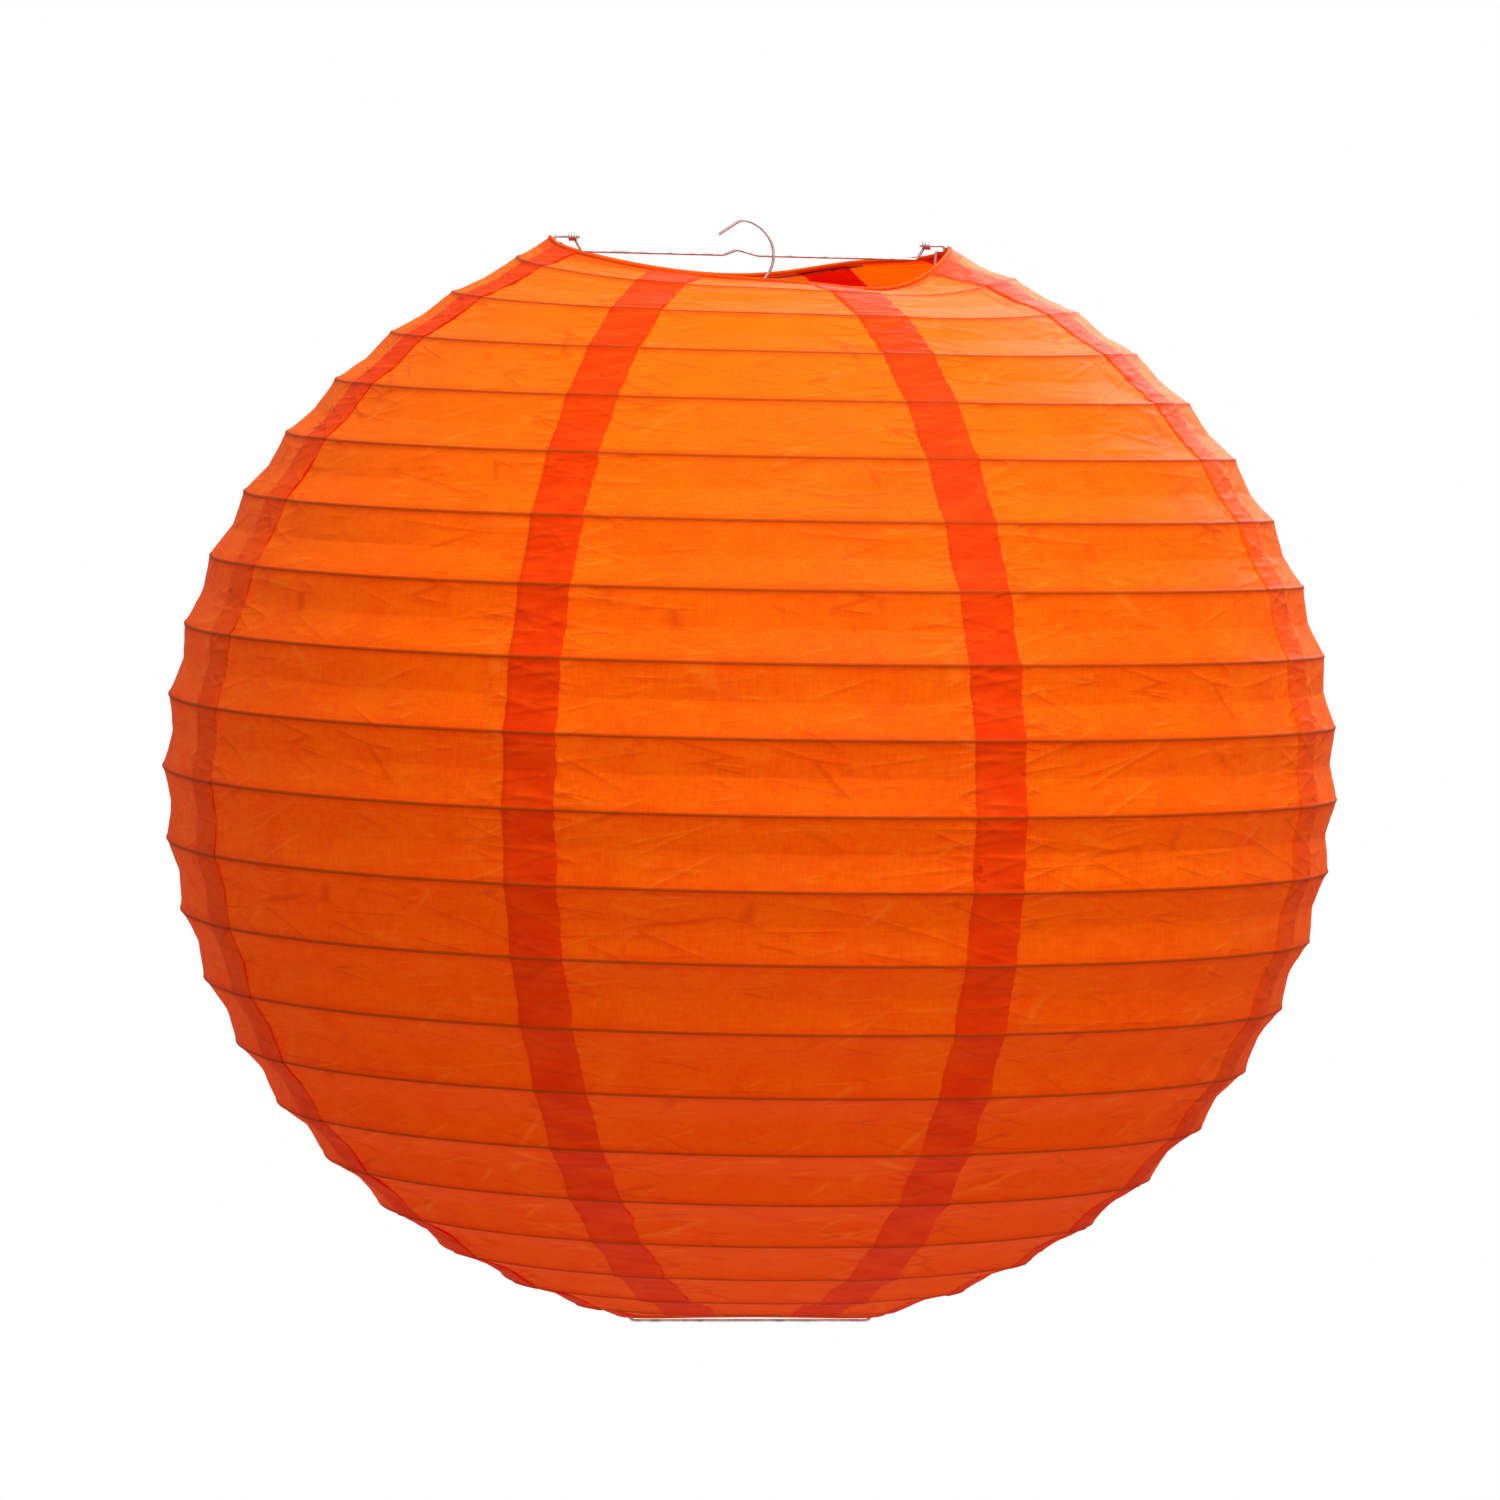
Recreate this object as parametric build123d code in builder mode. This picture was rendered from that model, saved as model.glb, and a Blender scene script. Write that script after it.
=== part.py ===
"""A round paper lantern: eight paper gores over a spiral wire rib, held open by a wire expander frame.

Units are millimetres.  +Z is up, +X runs along the crossbar.  The origin is the inside top of the
hanging hook, which is the point that the lantern hangs from.
"""

import os
from math import acos, cos, degrees, exp, pi, radians, sin, sqrt, tan

from build123d import *

# ---- shade -------------------------------------------------------------------------------------
shade_diameter = 406.4  # across the paper at its widest
shade_height = 380.0  # the full ellipsoid, before the two mouths are cut off
paper_thickness = 0.3
gore_count = 8
seam_turn = 1.5  # degrees that the seams are turned from the symmetric position
lap_width = 18.5  # glued overlap of two gores, the same from top to bottom
lap_gap = 0.05  # glue line between the two layers

# ---- wires -------------------------------------------------------------------------------------
rib_wire = 0.8
rib_corners = 24  # to one turn of the spiral
rib_bend = 30.0  # radius of the arc at each corner
rib_pitch = 25.0  # along the curve of the shade, from one turn to the next
rib_crossing_drop = 2.9  # the rib crosses the front of the shade this far below its widest line
rib_clearance = 0.1  # between the rib and the paper that is glued to it
ring_wire = 0.9
top_mouth = 138.0  # diameter of the top ring, to the middle of its wire
bottom_mouth = 94.0
top_ring_sink = 1.5  # how far the top ring hangs below the curve of the shade
top_saddle = 5.0  # how far the top ring rises towards the ears and sags between them
ear_peak = 2.5  # the sharper peak that each ear pushes up in the top ring
ear_spread = 14.0  # degrees of the ring that this peak takes, to each side
front_droop = (-7.3, -45.0, 26.0)  # a slack part of the top ring: rise, its middle and its spread
back_lift = (3.3, 60.0, 22.0)
bottom_saddle = 2.0
hem_wall = 0.3  # paper turned round each ring

# ---- expander frame ----------------------------------------------------------------------------
frame_wire = 1.0
ring_clearance = 0.35  # between what slides and what it slides past
ear_drop = 6.2  # from the hook's inside top down to the ears' upper legs
ear_lean = 1.45  # degrees that the ears, the crossbar and the top ring slope down towards +X
ring_below_ear = 0.09  # from the ears' upper legs down to the peaks of the top ring
ear_length = 2.9  # from each ear's tip in to its upright
ear_leg_gap = 2.0  # between the two legs of an ear
shoulder_reach = 1.6  # how far the foot of each upright stands out past the bottom ring
shoulder_inset = 1.7  # how far inside the ring the wire turns down
bar_below_ring = 3.3  # from the bottom ring down to the bottom bar
tight_bend = 0.95
foot_bend = 1.2
corner_share = 0.45  # of the shorter run beside a corner, for the long curves of rings and rib

# ---- crossbar and hook -------------------------------------------------------------------------
coil_turns = 3
coil_bite = 0.05  # how deep neighbouring turns sink into each other
coil_clearance = 0.08  # round the ear's leg that the coil turns on
coil_inset = 5.3  # from each ear's tip in to the first turn of its coil
crank_run = 2.3
bump_peak = -4.1  # the small upward kink beside the hook
bump_rise_run = 4.8
bump_fall_run = 7.2
bump_height = 1.9
bump_bends = (4.0, 3.0, 4.0)
long_bend = 40.0  # where the bar leaves the weld for its end coil
weld_bite = 0.1  # how deep the two wires sink into each other at the spot weld
hook_radius = 12.25
hook_setback = 3.8  # the hook's centre stands this far to the side of the point it hangs from
hook_tail = 95.0  # degrees of arc below the crossbar
hook_crown = 78.0  # degrees of arc above the crossbar, up to the bend into the straight tip
hook_tip_bend = 4.0
hook_tip_turn = 46.5
hook_tip_length = 7.7

# ---- worked out from the above -----------------------------------------------------------------
shade_radius = shade_diameter / 2
top_ring_radius = top_mouth / 2
bottom_ring_radius = bottom_mouth / 2
hem_radius = ring_wire / 2 + hem_wall
gore_arc = 2 * 360 / gore_count
paper_edge_radius = top_ring_radius + hem_radius + ring_clearance
ear_reach = top_ring_radius - hem_radius - ring_clearance - frame_wire / 2
upright_top = ear_reach - ear_length
coil_start = ear_reach - coil_inset
coil_pitch = frame_wire - coil_bite


def height_on_shade(radius):
    """Height above the shade's middle where the shade's ellipse has this radius."""
    return shade_height / 2 * sqrt(1 - (radius / shade_radius) ** 2)


top_ring_height = height_on_shade(top_ring_radius) - top_ring_sink
bottom_ring_height = -height_on_shade(bottom_ring_radius)
middle = -(top_ring_height + top_saddle + ear_peak + ring_below_ear + ear_drop)  # of the shade
paper_top = height_on_shade(paper_edge_radius)
foot_clear_radius = bottom_ring_radius + shoulder_reach + frame_wire / 2 + ring_clearance
paper_bottom = -height_on_shade(foot_clear_radius)


def bend_radii(points, closed=False):
    """For each corner of a long curve, the radius that uses corner_share of its shorter run."""
    spots = [Vector(*point) for point in points]
    if closed:
        spots = [spots[-1], *spots, spots[0]]
    radii = []
    for before, corner, after in zip(spots, spots[1:], spots[2:]):
        run_in = corner - before
        run_out = after - corner
        turn = radians(run_in.get_angle(run_out))
        radii.append(corner_share * min(run_in.length, run_out.length) / tan(turn / 2))
    return radii


def wire_section(path, diameter):
    """A round section across the start of a path."""
    with BuildSketch(Plane(origin=path @ 0, z_dir=path % 0)) as section:
        Circle(diameter / 2)
    return section.sketch


def leaned(x, z):
    """A point of the hanging plane, sloped with the ears and the crossbar about the hang point."""
    return tuple(Vector(x, 0, z).rotate(Axis.Y, ear_lean))


def saddle_paths(ring_radius, height, saddle, peak, lean, bells, corners=36):
    """The two halves of a ring that rises towards +X and -X and sags between, as arcs round corners."""
    points = []
    outside = ring_radius / cos(pi / corners)
    for corner in range(corners):
        turn = 2 * pi * corner / corners
        from_ear = degrees(turn + pi / 2) % 180 - 90
        rise = saddle * cos(2 * turn) + peak * exp(-((from_ear / ear_spread) ** 2))
        rise -= ring_radius * tan(radians(lean)) * cos(turn)
        for bell_rise, place, spread in bells:
            from_bell = (degrees(turn) - place + 180) % 360 - 180
            rise += bell_rise * exp(-((from_bell / spread) ** 2))
        points.append((outside * cos(turn), outside * sin(turn), middle + height + rise))
    radii = bend_radii(points, closed=True)
    halves = []
    for first in (0, corners // 2):
        own = points[first : first + corners // 2]
        before = Vector(*points[first - 1])
        after = Vector(*points[(first + corners // 2) % corners])
        start = (before + Vector(*own[0])) / 2
        end = (Vector(*own[-1]) + after) / 2
        with BuildLine() as half:
            FilletPolyline(start, *own, end, radius=radii[first : first + corners // 2])
        halves.append(half.wire())
    return halves


def seam_plane(seam, offset):
    """The plane along a seam's meridian, moved sideways by offset; it faces counter-clockwise."""
    turn = seam_turn + 360 / gore_count * (seam + 0.5)
    facing = Vector(0, 1, 0).rotate(Axis.Z, turn)
    return Plane(origin=facing * offset, x_dir=(0, 0, 1), z_dir=facing)


def paper_layer(gore, depth, thickness, start, end):
    """A strip of the shade's wall between two planes, starting depth outside the shade's ellipse."""
    low = middle + paper_bottom
    high = middle + paper_top
    turn = seam_turn + 360 / gore_count * gore - gore_arc / 2
    across = Vector(1, 0, 0).rotate(Axis.Z, turn)
    facing = Vector(0, -1, 0).rotate(Axis.Z, turn)
    with BuildPart() as layer:
        with BuildSketch(Plane(origin=(0, 0, 0), x_dir=across, z_dir=facing)):
            with Locations((0, middle)):
                Ellipse(shade_radius + depth + thickness, shade_height / 2 + depth + thickness)
                Ellipse(shade_radius + depth, shade_height / 2 + depth, mode=Mode.SUBTRACT)
            with Locations((shade_radius, (low + high) / 2)):
                Rectangle(2 * shade_radius, high - low, mode=Mode.INTERSECT)
        revolve(axis=Axis.Z, revolution_arc=gore_arc)
        split(bisect_by=start, keep=Keep.TOP)
        split(bisect_by=end, keep=Keep.BOTTOM)
    return layer.part


def save(piece, name):
    """Label a finished piece and write it."""
    piece.label = name
    export_step(piece, f"parts/{name}.step")


os.makedirs("parts", exist_ok=True)

# Paper gores.  Each one lies on the ribs and ends in a lap that steps out over the next gore.
lap_lift = paper_thickness + lap_gap
for gore in range(gore_count):
    seam_start = seam_plane(gore - 1, -lap_width / 2)
    step_start = seam_plane(gore, -lap_width / 2 - lap_gap - paper_thickness)
    step_end = seam_plane(gore, -lap_width / 2 - lap_gap)
    lap_end = seam_plane(gore, lap_width / 2)
    with BuildPart() as paper_panel:
        add(paper_layer(gore, 0, paper_thickness, seam_start, step_end))
        add(paper_layer(gore, 0, paper_thickness + lap_lift, step_start, step_end))
        add(paper_layer(gore, lap_lift, paper_thickness, step_start, lap_end))
    save(paper_panel.part, f"paper_panel_{gore + 1}")

# Rib.  One springy wire in a spiral from the bottom ring to the top ring, glued inside the paper.
rib_inset = rib_wire / 2 + rib_clearance
rib_rx = shade_radius - rib_inset
rib_ry = shade_height / 2 - rib_inset
rib_low_angle = degrees(acos((foot_clear_radius + rib_wire / 2) / rib_rx))
rib_high_angle = degrees(acos((paper_edge_radius + rib_wire) / rib_rx))
with BuildLine(Plane.XZ) as rib_profile:
    lower_profile = EllipticalCenterArc((0, middle), rib_rx, rib_ry, -rib_low_angle, arc_size=rib_low_angle)
    EllipticalCenterArc((0, middle), rib_rx, rib_ry, 0, arc_size=rib_high_angle)
rib_outline = rib_profile.wire()
rib_first_turn = -90 + 360 * (lower_profile.length - rib_crossing_drop) / rib_pitch
rib_steps = int(rib_outline.length / rib_pitch * rib_corners)
corner_reach = rib_bend * (1 / cos(pi / rib_corners) - 1)
rib_points = []
for step in range(rib_steps + 1):
    spot = rib_outline.position_at(rib_pitch * step / rib_corners, position_mode=PositionMode.LENGTH)
    reach = spot.X if step in (0, rib_steps) else spot.X + corner_reach
    turn = rib_first_turn - 360 * step / rib_corners
    rib_points.append(tuple(Vector(reach, 0, spot.Z).rotate(Axis.Z, turn)))
with BuildLine() as rib_line:
    FilletPolyline(*rib_points, radius=rib_bend)
with BuildPart() as rib_spiral:
    sweep(wire_section(rib_line.wire(), rib_wire), path=rib_line.wire())
save(rib_spiral.part, "rib_spiral")

# Rings at the two mouths, each with the paper turned round it as a hem.
top_bells = (front_droop, back_lift)
for place, radius, height, saddle, peak, lean, bells in (
    ("top", top_ring_radius, top_ring_height, top_saddle, ear_peak, ear_lean, top_bells),
    ("bottom", bottom_ring_radius, bottom_ring_height, -bottom_saddle, 0, 0, ()),
):
    halves = saddle_paths(radius, height, saddle, peak, lean, bells)
    with BuildPart() as ring:
        for half in halves:
            sweep(wire_section(half, ring_wire), path=half)
    save(ring.part, f"{place}_ring")
    with BuildPart() as hem:
        for half in halves:
            sweep(wire_section(half, 2 * hem_radius), path=half)
        for half in halves:
            sweep(wire_section(half, ring_wire), path=half, mode=Mode.SUBTRACT)
    save(hem.part, f"{place}_hem")

# Expander frame.  One wire: an ear, an upright, a foot, the bottom bar, and the same back again.
ear_height = -ear_drop
leg_end = coil_start - coil_turns * coil_pitch - frame_wire / 2
foot_height = middle + bottom_ring_height - bottom_saddle + hem_radius + frame_wire / 2 + lap_gap
bar_height = middle + bottom_ring_height - bottom_saddle - bar_below_ring
foot_inside = bottom_ring_radius - shoulder_inset
bar_end = foot_inside - (foot_height - bar_height)
ear = [
    (leg_end, ear_height),
    (ear_reach, ear_height),
    (ear_reach, ear_height - ear_leg_gap),
    (upright_top, ear_height - ear_leg_gap),
]
foot = [
    (bottom_ring_radius + shoulder_reach, foot_height),
    (foot_inside, foot_height),
    (bar_end, bar_height),
]
half_bends = [tight_bend, tight_bend, tight_bend, foot_bend, foot_bend, foot_bend]
frame_points = [leaned(x, z) for x, z in ear] + [(x, 0, z) for x, z in foot]
frame_points += [(-x, 0, z) for x, z in reversed(foot)] + [leaned(-x, z) for x, z in reversed(ear)]
with BuildLine() as frame_line:
    FilletPolyline(*frame_points, radius=half_bends + half_bends[::-1])
with BuildPart() as expander_frame:
    sweep(wire_section(frame_line.wire(), frame_wire), path=frame_line.wire())
save(expander_frame.part, "expander_frame")

# Crossbar.  Its ends are wound round the ears' upper legs, so it swings on them like a bail.  It is
# made level and then leaned with them.
bar_drop = sqrt((hook_radius - frame_wire / 2) ** 2 - hook_setback**2)
coil_radius = frame_wire + coil_clearance
bar_setback = frame_wire - weld_bite
crank_top = coil_start - (coil_turns - 1) * coil_pitch
bar_points = [
    (-crank_top, 0, ear_height - coil_radius),
    (-crank_top + crank_run, 0, -bar_drop),
    (bump_peak - bump_rise_run, bar_setback, -bar_drop),
    (bump_peak, bar_setback, -bar_drop + bump_height),
    (bump_peak + bump_fall_run, bar_setback, -bar_drop),
    (hook_radius, bar_setback, -bar_drop),
    (crank_top - crank_run, 0, -bar_drop),
    (crank_top, 0, ear_height - coil_radius),
]
with BuildLine() as bar_line:
    FilletPolyline(*bar_points, radius=[foot_bend, *bump_bends, long_bend, foot_bend])
with BuildPart() as crossbar:
    sweep(wire_section(bar_line.wire(), frame_wire), path=bar_line.wire())
    for side in (-1, 1):
        for turn in range(coil_turns):
            across = side * (coil_start - turn * coil_pitch)
            with BuildSketch(Plane.XY.offset(ear_height)):
                with Locations((across, coil_radius)):
                    Circle(frame_wire / 2)
            revolve(axis=Axis((0, 0, ear_height), (1, 0, 0)))
save(crossbar.part.rotate(Axis.Y, ear_lean), "crossbar")

# Hook.  An open ring of wire, spot-welded to the crossbar; its straight tip leads the hanging cord in.
hook_centre = (-hook_setback, -bar_drop)
with BuildLine(Plane.XZ) as hook_line:
    crown = CenterArc(hook_centre, hook_radius, -hook_tail, hook_tail + hook_crown)
    tip_bend = JernArc(crown @ 1, crown % 1, hook_tip_bend, hook_tip_turn)
    PolarLine(tip_bend @ 1, hook_tip_length, direction=tip_bend % 1)
with BuildPart() as hanging_hook:
    sweep(wire_section(hook_line.wire(), frame_wire), path=hook_line.wire())
save(hanging_hook.part.rotate(Axis.Y, ear_lean), "hanging_hook")
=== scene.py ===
"""Paper lantern: the paper, ribs and wires as they look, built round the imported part."""

from math import radians

import bpy
import numpy as np
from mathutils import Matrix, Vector


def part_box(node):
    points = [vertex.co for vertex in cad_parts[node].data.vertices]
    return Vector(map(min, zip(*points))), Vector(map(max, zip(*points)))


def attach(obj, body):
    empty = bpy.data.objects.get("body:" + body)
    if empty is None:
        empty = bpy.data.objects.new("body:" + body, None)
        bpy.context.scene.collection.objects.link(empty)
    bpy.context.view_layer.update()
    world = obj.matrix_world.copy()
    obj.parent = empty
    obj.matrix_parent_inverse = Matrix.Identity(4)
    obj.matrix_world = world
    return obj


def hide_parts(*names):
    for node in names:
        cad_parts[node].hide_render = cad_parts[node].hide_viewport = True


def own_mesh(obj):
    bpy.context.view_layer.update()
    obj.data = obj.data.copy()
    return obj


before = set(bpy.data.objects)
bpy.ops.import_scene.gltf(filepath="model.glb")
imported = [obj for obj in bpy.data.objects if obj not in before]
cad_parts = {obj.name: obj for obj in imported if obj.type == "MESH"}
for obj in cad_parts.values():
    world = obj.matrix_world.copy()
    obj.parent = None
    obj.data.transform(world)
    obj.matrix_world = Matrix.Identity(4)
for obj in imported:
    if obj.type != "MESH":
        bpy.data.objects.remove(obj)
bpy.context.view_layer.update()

# ---- Studio -------------------------------------------------------------------------------------
# The lantern hangs in the middle of a white studio, above a pale round floor. A big softbox stands
# overhead, a second one behind, and a weak one in front, all a little to the right of the middle.
hang_height = 0.191  # from the shade's middle up to the inside top of the hook
shade_middle = Vector((0, 0, -hang_height))
scene = bpy.context.scene
scene.view_settings.view_transform = "Standard"

camera_distance = 3.2
camera_height_angle = radians(3.1)
camera_aim = shade_middle + Vector((0, 0, 0.0086))
back = Vector((0, -np.cos(camera_height_angle), np.sin(camera_height_angle)))
camera = bpy.data.objects.new("camera", bpy.data.cameras.new("camera"))
camera.data.lens = 221.5
camera.data.sensor_width = 36
camera.location = camera_aim + back * camera_distance
camera.rotation_euler = (-back).to_track_quat("-Z", "Y").to_euler()
camera.data.clip_end = 50
scene.collection.objects.link(camera)
scene.camera = camera


def softbox(name, place, size, power):
    """A square area light that faces the middle of the shade."""
    data = bpy.data.lights.new(name, "AREA")
    data.shape, data.size, data.energy = "SQUARE", size, power
    light = bpy.data.objects.new(name, data)
    light.location = place
    facing = shade_middle - Vector(place)
    light.rotation_euler = facing.to_track_quat("-Z", "Y").to_euler()
    scene.collection.objects.link(light)


softbox("overhead_softbox", (0.8, -0.9, 1.9), 1.5, 57)
softbox("rear_softbox", (0.7, 2.0, 0.9), 1.2, 42)
softbox("front_fill", (0.7, -2.4, 0.05), 1.4, 10)

world = bpy.data.worlds.new("white_studio")
world.use_nodes = True
scene.world = world
nodes, links = world.node_tree.nodes, world.node_tree.links
ray = nodes.new("ShaderNodeLightPath")
direction = nodes.new("ShaderNodeTexCoord")
upward = nodes.new("ShaderNodeSeparateXYZ")
links.new(direction.outputs["Generated"], upward.inputs["Vector"])
dome = nodes.new("ShaderNodeMapRange")
dome.inputs["From Min"].default_value, dome.inputs["From Max"].default_value = -1.0, 0.8
dome.inputs["To Min"].default_value, dome.inputs["To Max"].default_value = 0.07, 0.84
links.new(upward.outputs["Z"], dome.inputs["Value"])
seen_or_lit = nodes.new("ShaderNodeMix")
seen_or_lit.inputs["B"].default_value = 1.0
links.new(ray.outputs["Is Camera Ray"], seen_or_lit.inputs["Factor"])
links.new(dome.outputs["Result"], seen_or_lit.inputs["A"])
nodes["Background"].inputs["Color"].default_value = (1, 1, 1, 1)
links.new(seen_or_lit.outputs["Result"], nodes["Background"].inputs["Strength"])

floor_drop = 1.1
floor_radius = 0.8
floor_corners = 96
rim_turns = np.linspace(0, 2 * np.pi, floor_corners + 1)[:-1]
rim = np.c_[
    floor_radius * np.cos(rim_turns),
    floor_radius * np.sin(rim_turns),
    np.full(floor_corners, -floor_drop - hang_height),
]
floor_mesh = bpy.data.meshes.new("studio_floor")
floor_mesh.from_pydata(rim.tolist(), [], [list(range(floor_corners))])
floor = bpy.data.objects.new("studio_floor", floor_mesh)
scene.collection.objects.link(floor)
floor_paint = bpy.data.materials.new("pale_floor")
floor_paint.use_nodes = True
floor_shader = floor_paint.node_tree.nodes["Principled BSDF"]
floor_shader.inputs["Base Color"].default_value = (0.9, 0.9, 0.9, 1)
floor_shader.inputs["Roughness"].default_value = 0.9
floor_mesh.materials.append(floor_paint)

# ---- Paper gores --------------------------------------------------------------------------------
# Eight gores of thin dyed mulberry paper, each glued over its neighbour with a lap of constant width.
# They are glued to the spiral rib, sag between its turns with a fold at half height, and pucker beside
# the laps where the glue has shrunk them. Lengths are in metres and angles in radians.
shade_radius = 0.2032
shade_half_height = 0.1922
middle_height = 0.001 - hang_height
gore_count = 8
seam_turn = radians(1.5)
lap_half = 0.00925
lap_lift = 0.00035
lap_step = 0.0006  # the run along which the lap climbs onto its neighbour
lap_ragged = 0.0007
lap_stiffening = 0.35  # share of the sag that is lost beside a lap
main_columns, lap_columns = 128, 12
rib_pitch = 0.025
rib_crossing_drop = 0.0029
band_sag = 0.0026
folded_sag = 0.6  # share of the sag that is a sharp fold; the rest is a round sag
taut_share, taut_from = 0.55, 0.04
rib_lift, rib_lift_reach = 0.00028, 0.0007
paper_end_gap = 0.0004
band_rows = np.array([0, 0.014, 0.028, 0.05, 0.09, 0.15, 0.22, 0.3, 0.37, 0.43, 0.47, 0.49])
band_rows = np.r_[band_rows, 0.505, 0.52, 0.55, 0.61, 0.68, 0.76, 0.84, 0.9, 0.945, 0.97, 0.986]

# The two rings that the paper ends on, and how far up the shade each one's own shape is felt. A droop
# or lift of the top ring is its rise, the turn that its middle is at, and its spread.
_, top_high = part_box("top_ring")
bottom_low, bottom_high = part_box("bottom_ring")
ring_wire = 0.0009
top_radius = top_high.x - ring_wire / 2
bottom_radius = bottom_high.x - ring_wire / 2
top_saddle, ear_peak, ear_spread = 0.005, 0.0025, radians(14)
ear_lean = radians(1.45)
front_droop = (-0.0073, radians(-45), radians(26))
back_lift = (0.0033, radians(60), radians(22))
bottom_saddle = 0.002
ear_blend, slack_blend, mouth_blend = 0.010, 0.034, 0.055

ellipse_steps = np.linspace(-np.pi / 2, np.pi / 2, 6001)
ellipse_speed = np.hypot(shade_radius * np.sin(ellipse_steps), shade_half_height * np.cos(ellipse_steps))
ellipse_length = np.cumsum(ellipse_speed) * (ellipse_steps[1] - ellipse_steps[0])
ellipse_length -= np.interp(0, ellipse_steps, ellipse_length)


def ear_rise(turn):
    """How far the ears push the top ring up: a level part, and a bell at each ear."""
    from_ear = (turn + np.pi / 2) % np.pi - np.pi / 2
    return top_saddle + ear_peak * np.exp(-((from_ear / ear_spread) ** 2))


def slack_rise(turn):
    """How the top ring hangs between the ears: the cosine of twice the turn less one, a fall towards +X
    with the cosine of the turn, and two wider bells, a droop and a lift."""
    rise = top_saddle * (np.cos(2 * turn) - 1) - top_radius * np.tan(ear_lean) * np.cos(turn)
    for height, place, spread in (front_droop, back_lift):
        from_bell = (turn - place + np.pi) % (2 * np.pi) - np.pi
        rise += height * np.exp(-((from_bell / spread) ** 2))
    return rise


all_round = np.linspace(0, 2 * np.pi, 721)
top_mean = top_high.z - ring_wire / 2 - (ear_rise(all_round) + slack_rise(all_round)).max()
bottom_mean = (bottom_low.z + bottom_high.z) / 2


def soft_noise(x, y, seed):
    """Smooth random height: seeded values on a unit grid, joined by the cubic 3t^2 - 2t^3."""
    cells = 64
    values = np.random.default_rng(seed).uniform(-1, 1, (cells, cells))
    cell_x, cell_y = np.floor(x).astype(int), np.floor(y).astype(int)
    share_x, share_y = x - cell_x, y - cell_y
    share_x, share_y = share_x**2 * (3 - 2 * share_x), share_y**2 * (3 - 2 * share_y)
    near, far = cell_x % cells, (cell_x + 1) % cells
    low, high = cell_y % cells, (cell_y + 1) % cells
    lower = values[near, low] * (1 - share_x) + values[far, low] * share_x
    upper = values[near, high] * (1 - share_x) + values[far, high] * share_x
    return lower * (1 - share_y) + upper * share_y


def smooth_step(x):
    """The cubic that goes from 0 at 0 to 1 at 1, level at both ends."""
    x = np.clip(x, 0, 1)
    return x * x * (3 - 2 * x)


def ridged(noise):
    """Sharp creases where a noise crosses zero: 1 on the crossing, falling off to nothing beside it."""
    crease_width, sharpness = 0.30, 1.5
    return np.clip(1 - np.abs(noise) / crease_width, 0, 1) ** sharpness


def grid_object(name, points, uv_maps, closed_across=False):
    """A sheet of quads through a (rows, columns, 3) array of points, with its named UV maps."""
    rows, columns = points.shape[:2]
    index = np.arange(rows * columns).reshape(rows, columns)
    if closed_across:
        index = np.concatenate([index, index[:, :1]], axis=1)
    corners = [index[:-1, :-1], index[:-1, 1:], index[1:, 1:], index[1:, :-1]]
    quads = np.stack(corners, axis=-1).reshape(-1, 4)
    mesh = bpy.data.meshes.new(name)
    mesh.vertices.add(rows * columns)
    mesh.vertices.foreach_set("co", points.reshape(-1).astype(np.float32))
    mesh.loops.add(quads.size)
    mesh.loops.foreach_set("vertex_index", quads.reshape(-1).astype(np.int32))
    mesh.polygons.add(len(quads))
    mesh.polygons.foreach_set("loop_start", np.arange(0, quads.size, 4, dtype=np.int32))
    mesh.update(calc_edges=True)
    for layer_name, layer in uv_maps.items():
        uv = mesh.uv_layers.new(name=layer_name)
        corner_uv = layer.reshape(-1, 2)[quads.reshape(-1)]
        uv.data.foreach_set("uv", corner_uv.reshape(-1).astype(np.float32))
    mesh.polygons.foreach_set("use_smooth", np.ones(len(quads), bool))
    made = bpy.data.objects.new(name, mesh)
    scene.collection.objects.link(made)
    return made


def length_at_radius(radius, top):
    """Arc length from the widest line to where the shade's ellipse has this radius."""
    angle = np.arccos(radius / shade_radius) * (1 if top else -1)
    return np.interp(angle, ellipse_steps, ellipse_length)


length_low = length_at_radius(bottom_radius + paper_end_gap, False)
length_high = length_at_radius(top_radius + paper_end_gap, True)


def rib_count(length, turn):
    """How many turns of the spiral lie below a point of the shade; whole numbers are on the rib."""
    return (length + rib_crossing_drop) / rib_pitch + (turn + np.pi / 2) / (2 * np.pi)


def shade_point(length, turn, out):
    """A point of the paper: the ellipse turned about Z and moved out along its normal. Near the mouths it
    is drawn over to the rings' own heights. The push of the ears dies away as a quick exponential, the
    slack of the top ring as a slower one, and the pull of the bottom ring with a square."""
    angle = np.interp(length, ellipse_length, ellipse_steps)
    across, up = shade_half_height * np.cos(angle), shade_radius * np.sin(angle)
    size = np.hypot(across, up)
    radius = shade_radius * np.cos(angle) + out * across / size
    height = shade_half_height * np.sin(angle) + out * up / size + middle_height
    end_angles = np.interp((length_low, length_high), ellipse_length, ellipse_steps)
    low_end, top_end = shade_half_height * np.sin(end_angles) + middle_height
    from_top = length_high - length
    height = height + np.exp(-from_top / ear_blend) * (top_mean + ear_rise(turn) - top_end)
    height = height + np.exp(-from_top / slack_blend) * slack_rise(turn)
    near_low = np.clip(1 - (length - length_low) / mouth_blend, 0, 1) ** 2
    height = height + near_low * (bottom_mean - bottom_saddle * np.cos(2 * turn) - low_end)
    return np.stack([radius * np.cos(turn), radius * np.sin(turn), height], axis=-1)


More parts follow.
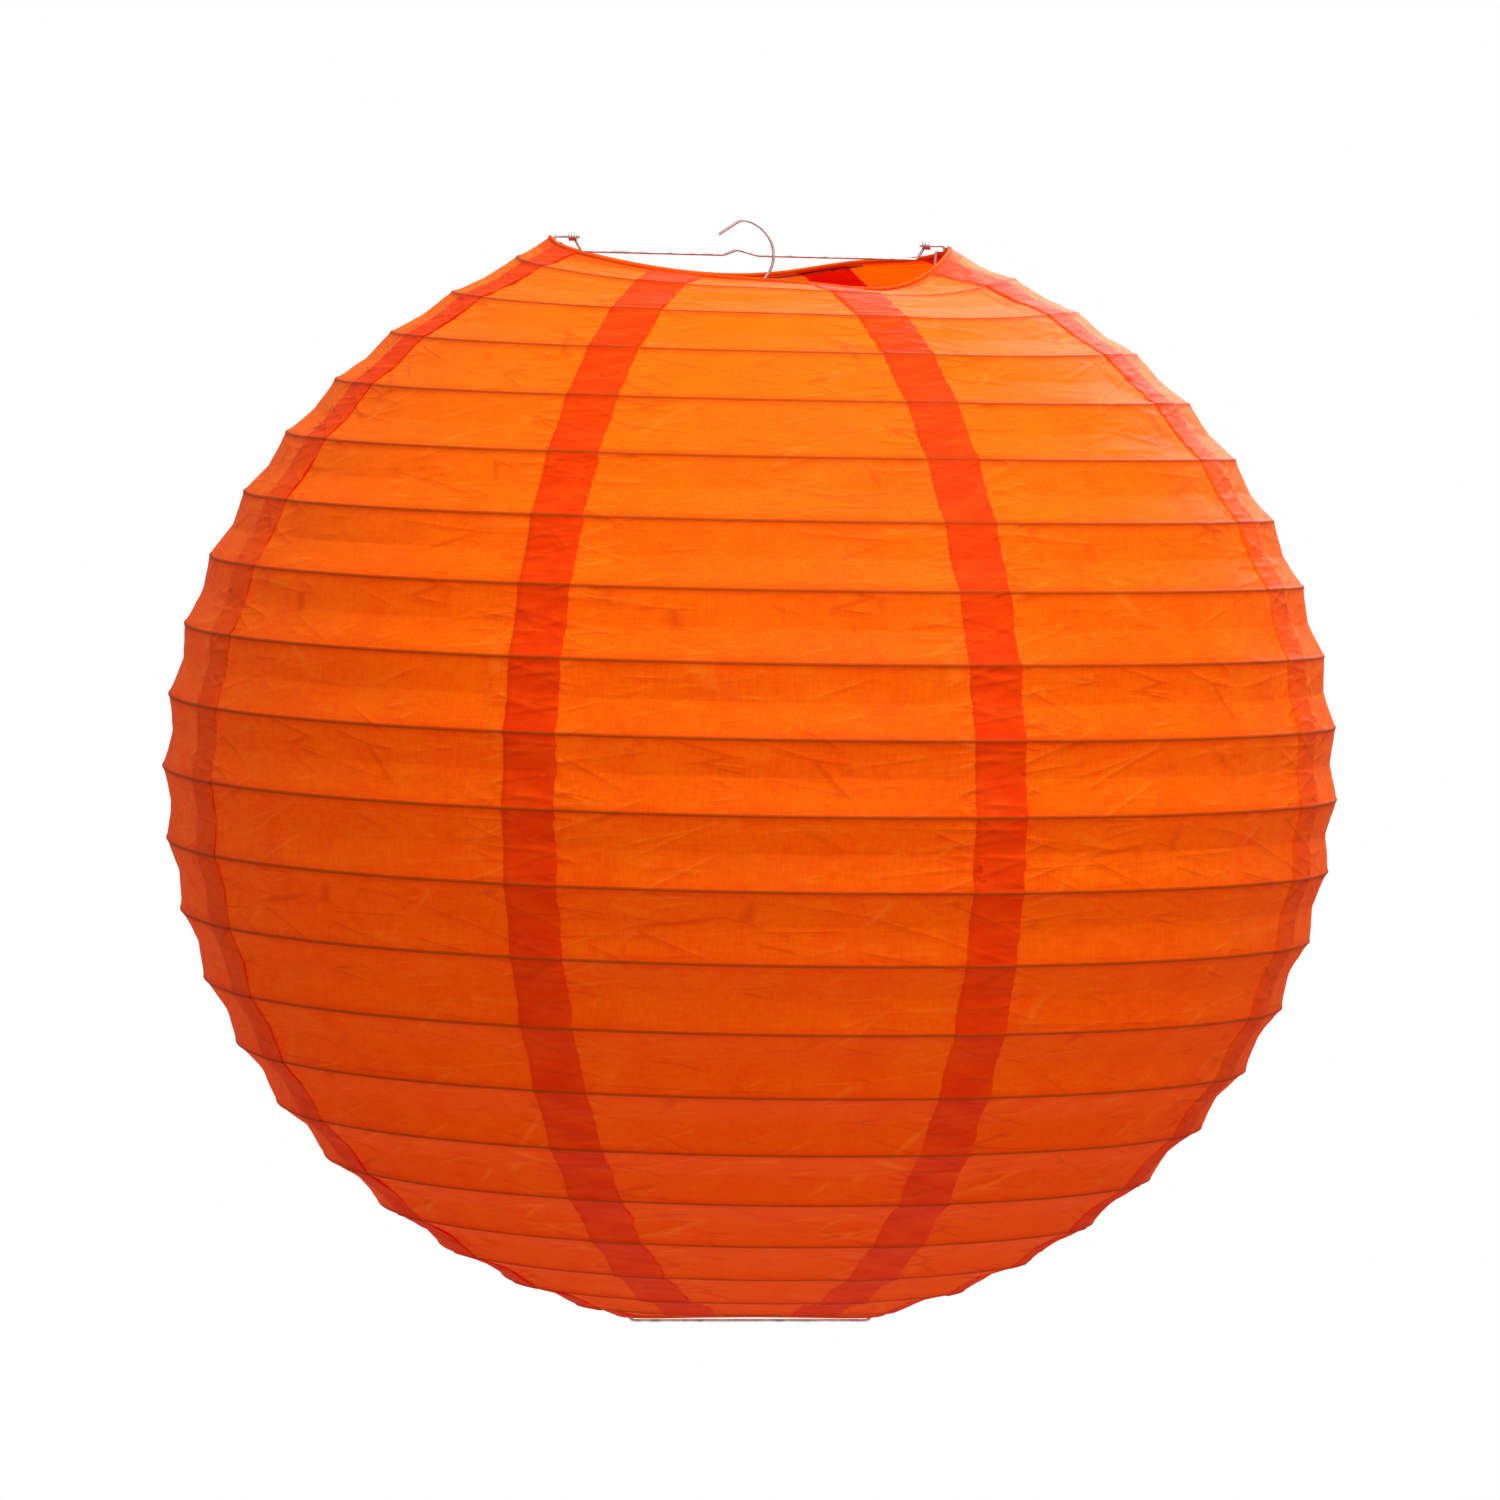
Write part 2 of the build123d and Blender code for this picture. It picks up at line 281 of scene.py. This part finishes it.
def band_shape(share, beside_seam, length):
    """How far the paper hangs in between two turns of the rib: straight flanks that meet in a fold at
    half height, rounded a little, shallower where the lap stiffens it and where the ears pull the shade
    taut towards the top, and lifted over the wire."""
    fold = 1 - np.abs(2 * share - 1)
    sag = folded_sag * fold + (1 - folded_sag) * np.sin(np.pi * share)
    taut = taut_share * smooth_step((length - taut_from) / (length_high - taut_from))
    to_rib = np.minimum(share, 1 - share) * rib_pitch
    lifted = rib_lift * np.exp(-((to_rib / rib_lift_reach) ** 2))
    return -band_sag * sag * (1 - lap_stiffening * beside_seam) * (1 - taut) + lifted


def gore_wrinkles(across, length, turn, seam_gap, seed):
    """How far the wrinkles stand out: two low noises, one fine and level and one wide and sloping; less
    sharp creases in three directions, which gather by the laps; less a fan of creases below each ear,
    which fades with the square of the distance from it."""
    wrinkle = 0.00012 * soft_noise(across / 0.022, length / 0.0021, seed)
    wrinkle += 0.00030 * soft_noise(across / 0.019 + length / 0.03, length / 0.009, seed + 1)
    pucker = ridged(soft_noise((across * 0.5 + length) / 0.0060, across / 0.024, seed + 2))
    pucker += ridged(soft_noise((across * 0.6 - length) / 0.0070, across / 0.020, seed + 3))
    pucker += 0.6 * ridged(soft_noise((across * 0.12 + length) / 0.0050, across / 0.030, seed + 4))
    patchy = smooth_step(0.6 * soft_noise(across / 0.018, length / 0.021, seed + 5) + 0.45)
    near_seam = np.exp(-((np.clip(seam_gap, 0, 1) / 0.017) ** 2))
    wrinkle -= 0.00034 * pucker * (0.12 + 0.88 * near_seam) * patchy
    ear_turn = (turn + np.pi / 2) % np.pi - np.pi / 2
    from_top = length_high - length
    fan = ridged(soft_noise(ear_turn * 14, from_top / 0.03, seed + 6))
    fan_reach = np.exp(-((ear_turn / 0.55) ** 2)) * np.exp(-((from_top / 0.055) ** 2))
    return wrinkle - 0.0007 * fan * fan_reach


def torn_edge(length, number):
    """The lap's ragged end: a wide noise and half as much of a fine one, along the seam."""
    wide = soft_noise(length / 0.004, np.full_like(length, number * 3.7), 11)
    return wide + 0.5 * soft_noise(length / 0.0013, np.full_like(length, number * 1.3), 12)


def gore(number):
    """One gore: rows follow the spiral, columns run from the edge under the last gore to the lap's end.
    The columns' turns and the rows' lengths hang on each other, so both are worked out three times."""
    first_seam = seam_turn + 2 * np.pi / gore_count * (number - 0.5) - np.pi / 2
    last_seam = first_seam + 2 * np.pi / gore_count
    past_edge, clear_of_end, end_rows = 0.25, 0.1, 4
    lowest = rib_count(length_low, last_seam + past_edge)
    highest = rib_count(length_high, first_seam - past_edge)
    inner = (np.arange(np.floor(lowest), np.ceil(highest))[:, None] + band_rows).ravel()
    inner = inner[(inner > lowest + clear_of_end) & (inner < highest - clear_of_end)]
    main = np.linspace(0, 1, main_columns)
    lap = np.linspace(0, 1, lap_columns)
    columns = main_columns + lap_columns
    on_lap = np.arange(columns) >= main_columns
    inner_rows = np.broadcast_to(inner[:, None], (len(inner), columns))
    ends = np.linspace(0, 1, end_rows + 1)[:-1, None]
    turn = np.r_[first_seam + main * (last_seam - first_seam), np.full(lap_columns, last_seam)]
    turn = np.broadcast_to(turn, (len(inner) + 2 * end_rows, columns))
    for _ in range(3):
        low_count, high_count = rib_count(length_low, turn[0]), rib_count(length_high, turn[0])
        low_rows = low_count + ends * (inner[0] - low_count)
        high_rows = high_count + ends[::-1] * (inner[-1] - high_count)
        count = np.concatenate([low_rows, inner_rows, high_rows])
        length = (count - (turn + np.pi / 2) / (2 * np.pi)) * rib_pitch - rib_crossing_drop
        length = np.clip(length, length_low, length_high)
        radius = shade_radius * np.cos(np.interp(length, ellipse_length, ellipse_steps))
        half_angle = np.arcsin(lap_half / radius)
        tear = torn_edge(length, number) * lap_ragged / radius
        start, step = first_seam - half_angle, last_seam - half_angle
        end = last_seam + half_angle + tear
        main_turn = start[:, :main_columns] + main * (step - start)[:, :main_columns]
        step_over = (step + lap_step / radius)[:, main_columns:]
        lap_turn = step_over + lap * (end[:, main_columns:] - step_over)
        turn = np.concatenate([main_turn, lap_turn], axis=1)

    share = count % 1
    across = radius * (turn - first_seam)
    from_first, from_last = radius * np.sin(turn - first_seam), radius * np.sin(turn - last_seam)
    seam_gap = np.minimum(np.abs(from_first), np.abs(from_last)) - lap_half
    beside_seam = 1 - smooth_step(seam_gap / 0.012)
    from_low, from_high = length - length_low, length_high - length
    free = smooth_step(np.minimum(from_low, from_high) / 0.012)
    glued = 1 - np.exp(-((np.minimum(share, 1 - share) * rib_pitch / 0.0022) ** 2))
    wrinkle = gore_wrinkles(across, length, turn, seam_gap, 100 + number * 10)
    out = band_shape(share, beside_seam, length) * free + wrinkle * glued * free
    out = out + lap_lift * on_lap
    uv_maps = {
        "band": np.stack([across, count], axis=-1),
        "seam": np.stack([from_first, from_last], axis=-1),
        "mouth": np.stack([from_low, from_high], axis=-1),
    }
    return grid_object(f"gore_{number}", shade_point(length, turn, out), uv_maps)


def plug(tree, socket, value):
    """Links a socket's value into an input, or sets a plain number, vector or colour on it."""
    if isinstance(value, bpy.types.NodeSocket):
        tree.links.new(value, socket)
    else:
        socket.default_value = value


def maths(tree, operation, *values):
    """A Math node; each value is a socket or a plain number."""
    node = tree.nodes.new("ShaderNodeMath")
    node.operation = operation
    for socket, value in zip(node.inputs, values):
        plug(tree, socket, value)
    return node.outputs["Value"]


def vector_maths(tree, operation, *values):
    """A Vector Math node; each value is a socket or a plain vector."""
    node = tree.nodes.new("ShaderNodeVectorMath")
    node.operation = operation
    for socket, value in zip(node.inputs, values):
        plug(tree, socket, value)
    return node.outputs["Vector"]


def ramp_between(tree, value, low, high):
    """A smooth 0 to 1 as value goes from low to high."""
    node = tree.nodes.new("ShaderNodeMapRange")
    node.interpolation_type = "SMOOTHSTEP"
    tree.links.new(value, node.inputs["Value"])
    node.inputs["From Min"].default_value, node.inputs["From Max"].default_value = low, high
    return node.outputs["Result"]


def fall_between(tree, value, low, high):
    """A smooth 1 to 0 as value goes from low to high."""
    return maths(tree, "SUBTRACT", 1.0, ramp_between(tree, value, low, high))


def mixed_colour(tree, share, first, second, blend="MIX"):
    """Two colours mixed by a share; each is a socket or a plain colour."""
    node = tree.nodes.new("ShaderNodeMix")
    node.data_type, node.blend_type = "RGBA", blend
    for socket, value in zip((node.inputs[0], node.inputs[6], node.inputs[7]), (share, first, second)):
        plug(tree, socket, value)
    return node.outputs[2]


def noise_texture(tree, vector, scale, detail=2):
    """A noise from 0 to 1 at a vector."""
    noise = tree.nodes.new("ShaderNodeTexNoise")
    noise.inputs["Scale"].default_value = scale
    noise.inputs["Detail"].default_value = detail
    tree.links.new(vector, noise.inputs["Vector"])
    return noise


def edge_distance(tree, vector, dimensions):
    """How far a vector is from the border of its random cell."""
    cells = tree.nodes.new("ShaderNodeTexVoronoi")
    cells.feature, cells.voronoi_dimensions = "DISTANCE_TO_EDGE", dimensions
    cells.inputs["Scale"].default_value = 1
    tree.links.new(vector, cells.inputs["Vector"])
    return cells.outputs["Distance"]


def new_group(name, inputs, outputs):
    """An empty node group with its named sockets; "Vector" is a vector and the others are numbers."""
    group = bpy.data.node_groups.new(name, "ShaderNodeTree")
    for names, side in ((inputs, "INPUT"), (outputs, "OUTPUT")):
        for socket in names:
            kind = "NodeSocketVector" if socket == "Vector" else "NodeSocketFloat"
            group.interface.new_socket(socket, in_out=side, socket_type=kind)
    entry, leave = group.nodes.new("NodeGroupInput"), group.nodes.new("NodeGroupOutput")
    return group, entry.outputs, leave.inputs


def fibre_group():
    """Long-fibre paper: soft clouds, crossed fine streaks and grain as a mask; grain and the borders of
    bent cells, which stand for single long fibres, as a height."""
    group, given, wanted = new_group("paper_fibre", ["Vector"], ["Mottle", "Height"])
    layers = []
    for stretch, detail in (
        ((60, 60, 60), 3),
        ((1100, 1100, 170), 2),
        ((190, 190, 1300), 2),
        ((2400, 2400, 2400), 2),
    ):
        stretched = vector_maths(group, "MULTIPLY", given["Vector"], stretch)
        layers.append(noise_texture(group, stretched, 1, detail).outputs["Fac"])
    clouds, upright, level, grain = layers
    streaks = maths(group, "ADD", upright, level)
    mottle = maths(group, "MULTIPLY_ADD", streaks, 0.27, maths(group, "MULTIPLY", clouds, 0.24))
    mottle = maths(group, "MULTIPLY_ADD", grain, 0.22, mottle)
    bend = noise_texture(group, given["Vector"], 60).outputs["Color"]
    stretched = vector_maths(group, "MULTIPLY", given["Vector"], (120, 45, 80))
    bent = vector_maths(group, "MULTIPLY_ADD", bend, (1.5, 1.5, 1.5), stretched)
    fibres = fall_between(group, edge_distance(group, bent, "3D"), 0.0, 0.03)
    group.links.new(mottle, wanted["Mottle"])
    group.links.new(maths(group, "MULTIPLY_ADD", fibres, 0.4, grain), wanted["Height"])
    return group


def crease_group():
    """Fine creases left by folding: the borders of long thin cells, in four directions, faded in and out
    by a wide noise and kept more often near the laps. Dark and Light are the masks of a painted shade
    and a painted highlight along the creases, and Height is their relief. The vector is along the rib
    and up, in metres."""
    group, given, wanted = new_group("paper_creases", ["Vector", "Near Lap"], ["Dark", "Light", "Height"])
    narrow_marks, height = [], 0.0
    for slope, stretch, offset in (
        (0.03, (11, 112, 1), 0),
        (0.30, (13, 88, 1), 7),
        (-0.34, (12, 92, 1), 13),
        (-0.12, (11, 100, 1), 23),
    ):
        turned = group.nodes.new("ShaderNodeVectorRotate")
        turned.rotation_type = "Z_AXIS"
        turned.inputs["Angle"].default_value = slope
        group.links.new(given["Vector"], turned.inputs["Vector"])
        moved_by = (offset, offset, 0)
        stretched = vector_maths(group, "MULTIPLY_ADD", turned.outputs["Vector"], stretch, moved_by)
        distance = edge_distance(group, stretched, "2D")
        fade = noise_texture(group, vector_maths(group, "ADD", given["Vector"], moved_by), 34).outputs["Fac"]
        kept = maths(group, "MULTIPLY_ADD", given["Near Lap"], 0.10, fade)
        shown = ramp_between(group, kept, 0.50, 0.66)
        narrow, wide = (
            maths(group, "MULTIPLY", shown, fall_between(group, distance, 0.0, width))
            for width in (0.045, 0.16)
        )
        narrow_marks.append(narrow)
        height = maths(group, "ADD", height, wide)
    group.links.new(maths(group, "MAXIMUM", *narrow_marks[:2]), wanted["Dark"])
    group.links.new(maths(group, "MAXIMUM", *narrow_marks[2:]), wanted["Light"])
    group.links.new(height, wanted["Height"])
    return group


def used_group(tree, group, vector):
    """A node group in a material's tree, fed with a vector."""
    node = tree.nodes.new("ShaderNodeGroup")
    node.node_tree = group
    tree.links.new(vector, node.inputs["Vector"])
    return node


paper_fibre, paper_creases = fibre_group(), crease_group()
paper_orange = (1.0, 0.205, 0.0, 1)
paper_deep = (0.96, 0.108, 0.0, 1)
# The next two colours are painted light and painted shade: the gores are made yellower high up and redder
# low down, as if lit from above.
painted_top_light = (1.0, 0.27, 0.005, 1)
painted_bottom_shade = (0.90, 0.065, 0.0, 1)
lap_red = (0.86, 0.026, 0.0, 1)
lap_bright = (0.94, 0.062, 0.0, 1)
# Painted shade and painted highlight along the creases:
crease_painted_shade = (0.62, 0.045, 0.0, 1)
crease_painted_highlight = (1.0, 0.36, 0.03, 1)
rib_shadow = (0.50, 0.07, 0.002, 1)
through_paper = (1.0, 0.62, 0.3, 1)
turned_hem = 0.0045


def doubled_paper(tree, place, seam, mouth):
    """1 where one gore lies over the next, 0.6 where the paper is turned in at a mouth, 0 elsewhere, with
    an edge that wanders by a fine noise."""
    ragged = noise_texture(tree, place, 420).outputs["Fac"]
    wander = maths(tree, "MULTIPLY_ADD", ragged, 0.0016, -0.0008)
    under = maths(tree, "ADD", seam["X"], wander)
    over = maths(tree, "ADD", seam["Y"], wander)
    doubled = maths(
        tree, "MAXIMUM",
        fall_between(tree, under, lap_half - 0.0001, lap_half + 0.0001),
        ramp_between(tree, over, -lap_half - 0.0001, -lap_half + 0.0001),
    )
    for end in ("X", "Y"):
        inside = maths(tree, "ADD", mouth[end], wander)
        hem = fall_between(tree, inside, turned_hem - 0.0002, turned_hem + 0.0002)
        doubled = maths(tree, "MAXIMUM", doubled, maths(tree, "MULTIPLY", hem, 0.6))
    return doubled


def gore_marks_and_painted_light(tree, place, colour, relief):
    """What a gore has besides plain paper: painted light that makes it yellower high up and painted shade
    that makes it redder low down; red where doubled, less so at the sides where a painted sheen pales it;
    creased, with painted shade and painted highlight along the creases; redder in a soft band along the
    rib, and darkened on the rib by a painted shadow of the wire."""
    sockets, maps = {}, {}
    for layer in ("band", "seam", "mouth"):
        uv = tree.nodes.new("ShaderNodeUVMap")
        uv.uv_map = layer
        split = tree.nodes.new("ShaderNodeSeparateXYZ")
        tree.links.new(uv.outputs["UV"], split.inputs["Vector"])
        sockets[layer], maps[layer] = uv.outputs["UV"], split.outputs

    doubled = doubled_paper(tree, place, maps["seam"], maps["mouth"])
    from_low = maps["mouth"]["X"]
    # Painted light: yellower over the upper part of the shade, as if lit from above.
    high = maths(tree, "MULTIPLY", ramp_between(tree, from_low, 0.26, 0.50), 0.45)
    colour = mixed_colour(tree, high, colour, painted_top_light)
    # Painted shade: redder and darker over the lowest part of the shade, as if shaded from below.
    low = maths(tree, "MULTIPLY", ramp_between(tree, from_low, 0.28, 0.08), 0.5)
    colour = mixed_colour(tree, low, colour, painted_bottom_shade)
    # Painted sheen: the laps' red is weakened towards ±X, the sides of the shade, standing for the pale
    # sheen the paper shows at grazing angles.
    sideways = tree.nodes.new("ShaderNodeSeparateXYZ")
    tree.links.new(place, sideways.inputs["Vector"])
    off_middle = maths(tree, "ABSOLUTE", sideways.outputs["X"])
    painted_sheen_fade = maths(tree, "MULTIPLY_ADD", ramp_between(tree, off_middle, 0.12, 0.18), -0.40, 0.82)
    glue = noise_texture(tree, vector_maths(tree, "MULTIPLY", sockets["band"], (55, 3.2, 1)), 1, 3)
    lap_colour = mixed_colour(tree, ramp_between(tree, glue.outputs["Fac"], 0.30, 0.75), lap_red, lap_bright)
    colour = mixed_colour(tree, maths(tree, "MULTIPLY", doubled, painted_sheen_fade), colour, lap_colour)

    along_and_up = vector_maths(tree, "MULTIPLY", sockets["band"], (1, rib_pitch, 0))
    crease = used_group(tree, paper_creases, along_and_up)
    near = maths(tree, "MINIMUM", *(maths(tree, "ABSOLUTE", maps["seam"][edge]) for edge in ("X", "Y")))
    tree.links.new(fall_between(tree, near, lap_half, 0.036), crease.inputs["Near Lap"])
    # Painted shade on the dark crease lines, then painted highlight on the light ones, less on doubled
    # paper.
    dark = maths(tree, "MULTIPLY", crease.outputs["Dark"], 0.40)
    colour = mixed_colour(tree, dark, colour, crease_painted_shade)
    single = maths(tree, "SUBTRACT", 1.0, maths(tree, "MULTIPLY", doubled, 0.8))
    light = maths(tree, "MULTIPLY", maths(tree, "MULTIPLY", crease.outputs["Light"], single), 0.26)
    colour = mixed_colour(tree, light, colour, crease_painted_highlight)
    relief = maths(tree, "MULTIPLY_ADD", crease.outputs["Height"], 2.0, relief)

    # A soft redder band along the rib, and on the rib a thin painted shadow of the wire seen through the
    # paper.
    to_rib = maths(tree, "PINGPONG", maps["band"]["Y"], 0.5)
    rib_band_share = maths(tree, "MULTIPLY", fall_between(tree, to_rib, 0.02, 0.14), 0.28)
    colour = mixed_colour(tree, rib_band_share, colour, lap_red)
    line = maths(tree, "MULTIPLY", fall_between(tree, to_rib, 0.012, 0.032), 0.8)
    return mixed_colour(tree, line, colour, rib_shadow), relief


def paper_material(name, lapped=True):
    """Dyed paper that lets light through: fibrous, and with a gore's own marks and painted light and shade
    if it is lapped, or a little redder all over if it is a hem."""
    material = bpy.data.materials.new(name)
    material.use_nodes = True
    tree = material.node_tree
    shader = tree.nodes["Principled BSDF"]
    place = tree.nodes.new("ShaderNodeTexCoord").outputs["Object"]
    fibre = used_group(tree, paper_fibre, place)
    mottle = ramp_between(tree, fibre.outputs["Mottle"], 0.34, 0.66)
    colour = mixed_colour(tree, mottle, paper_deep, paper_orange)
    relief = maths(tree, "MULTIPLY", fibre.outputs["Height"], 0.35)
    if lapped:
        colour, relief = gore_marks_and_painted_light(tree, place, colour, relief)
    else:
        colour = mixed_colour(tree, 0.25, colour, lap_red)
    tree.links.new(colour, shader.inputs["Base Color"])
    shader.inputs["Roughness"].default_value = 0.55
    shader.inputs["Specular IOR Level"].default_value = 0.05
    bump = tree.nodes.new("ShaderNodeBump")
    bump.inputs["Strength"].default_value = 0.8
    bump.inputs["Distance"].default_value = 0.00012
    tree.links.new(relief, bump.inputs["Height"])
    tree.links.new(bump.outputs["Normal"], shader.inputs["Normal"])
    through = tree.nodes.new("ShaderNodeBsdfTranslucent")
    tree.links.new(mixed_colour(tree, 1.0, colour, through_paper, "MULTIPLY"), through.inputs["Color"])
    blend = tree.nodes.new("ShaderNodeMixShader")
    blend.inputs["Fac"].default_value = 0.38
    tree.links.new(shader.outputs["BSDF"], blend.inputs[1])
    tree.links.new(through.outputs["BSDF"], blend.inputs[2])
    tree.links.new(blend.outputs["Shader"], tree.nodes["Material Output"].inputs["Surface"])
    return material


gore_paper = paper_material("dyed_mulberry_paper")
for number in range(1, gore_count + 1):
    piece = gore(number)
    piece.data.materials.append(gore_paper)
    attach(piece, "expander")
    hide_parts(f"paper_panel_{(number + 6) % gore_count + 1}")
    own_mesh(piece)

# ---- Rib ----------------------------------------------------------------------------------------
# One springy drawn steel wire, wound in a spiral from the bottom ring to the top ring. The paper is
# glued along its outside, so the wire runs just inside the paper.


def tube_object(name, path, radius, sides=10):
    """A round wire along a path of points: at each point a circle across the path's direction, turned so
    that its first corner points away from the object's middle line. Both ends are closed to a point."""
    along = np.gradient(path, axis=0)
    along /= np.linalg.norm(along, axis=1, keepdims=True)
    outward = path * (1, 1, 0)
    outward -= along * np.sum(outward * along, axis=1, keepdims=True)
    outward /= np.linalg.norm(outward, axis=1, keepdims=True)
    upward = np.cross(along, outward)
    angle = np.linspace(0, 2 * np.pi, sides, endpoint=False)
    size = np.full(len(path) + 2, radius)
    size[[0, -1]] = 0
    spots, outward, upward = (np.concatenate([x[:1], x, x[-1:]]) for x in (path, outward, upward))
    ring = outward[:, None] * np.cos(angle)[:, None] + upward[:, None] * np.sin(angle)[:, None]
    return grid_object(name, spots[:, None] + ring * size[:, None, None], {}, closed_across=True)


def wire_material(name, light, dark):
    """Drawn steel with a thin uneven oxide, which is darker and rougher than the bare metal."""
    material = bpy.data.materials.new(name)
    material.use_nodes = True
    tree = material.node_tree
    shader = tree.nodes["Principled BSDF"]
    place = tree.nodes.new("ShaderNodeTexCoord").outputs["Object"]
    oxide = ramp_between(tree, noise_texture(tree, place, 260, 4).outputs["Fac"], 0.4, 0.65)
    tree.links.new(mixed_colour(tree, oxide, light, dark), shader.inputs["Base Color"])
    rough = tree.nodes.new("ShaderNodeMapRange")
    rough.inputs["To Min"].default_value, rough.inputs["To Max"].default_value = 0.34, 0.55
    tree.links.new(oxide, rough.inputs["Value"])
    tree.links.new(rough.outputs["Result"], shader.inputs["Roughness"])
    shader.inputs["Metallic"].default_value = 1.0
    return material


rib_wire = 0.0008
rib_to_paper = 0.0001
rib_turn_count, points_per_turn = 20, 160
rib_lengths = np.linspace(length_low + 0.004, length_high - 0.003, rib_turn_count * points_per_turn)
rib_turns = -2 * np.pi * (rib_lengths + rib_crossing_drop) / rib_pitch - np.pi / 2
rib_path = shade_point(rib_lengths, rib_turns, -rib_wire / 2 - rib_to_paper)
rib = tube_object("rib_wire", rib_path, rib_wire / 2)
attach(rib, "expander")
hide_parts("rib_spiral")
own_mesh(rib)

rib_steel = wire_material("rib_wire_steel", (0.42, 0.38, 0.36, 1), (0.22, 0.17, 0.15, 1))
rib.data.materials.append(rib_steel)

# ---- Expander frame -----------------------------------------------------------------------------
# One bent steel wire that stretches the shade: its two ears push the top ring up and its feet press the
# bottom ring down. It is the CAD's own shape, as are the pieces below, in a new material.


def cover(node, material):
    """Gives a CAD piece this material in place of its plain one."""
    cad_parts[node].data.materials.clear()
    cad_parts[node].data.materials.append(material)


frame_steel = wire_material("frame_wire_steel", (0.70, 0.64, 0.63, 1), (0.44, 0.38, 0.37, 1))
cover("expander_frame", frame_steel)

# ---- Crossbar -----------------------------------------------------------------------------------
# A steel wire across the top mouth, with a coil at each end that is wound round the frame's ear and
# turns on it.
cover("crossbar", frame_steel)

# ---- Hanging hook -------------------------------------------------------------------------------
# An open ring of the same steel wire, spot-welded to the crossbar.
cover("hanging_hook", frame_steel)

# ---- Rings and hems -----------------------------------------------------------------------------
# A steel ring at each mouth, with the gores' paper turned round it and glued down as a hem.
for node in ("top_ring", "bottom_ring"):
    cover(node, rib_steel)
hem_paper = paper_material("hem_paper", lapped=False)
for node in ("top_hem", "bottom_hem"):
    cover(node, hem_paper)
